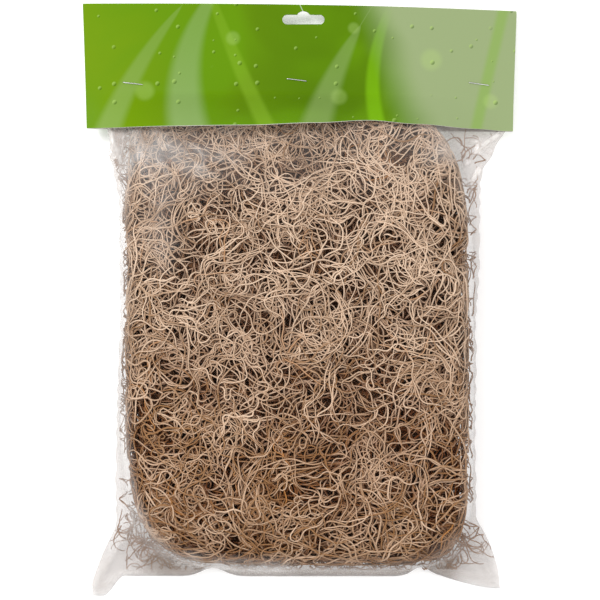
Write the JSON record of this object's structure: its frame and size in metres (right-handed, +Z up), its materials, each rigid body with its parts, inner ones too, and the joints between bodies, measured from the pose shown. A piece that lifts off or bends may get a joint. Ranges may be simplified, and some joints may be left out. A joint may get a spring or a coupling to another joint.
{
  "type": "bag of dried spanish moss",
  "caption": "Flat pack of dried Spanish moss in a clear film bag, closed by a folded header card with a hang slot and steel staples. Lies on its back.",
  "frame": {"origin": "on the surface that the pack lies on, under the middle of its outline", "axes": "+Y from the bag's bottom seam towards the header card, +X to the right as the card's front is read, +Z up out of the front"},
  "size_m": [0.292, 0.3986, 0.0568],
  "materials": {
    "moss": "dry, matt plant fibre, grey brown to tan",
    "film": "clear, glossy polythene film, slightly milky",
    "card": "printed card stock with a satin green print",
    "staple_wire": "plain bright wire"
  },
  "bodies": {
    "root": {"moss_bunch": "moss", "clear_bag": "film", "header_card": "card", "staple_left": "staple_wire", "staple_middle": "staple_wire", "staple_right": "staple_wire"}
  },
  "joints": []
}
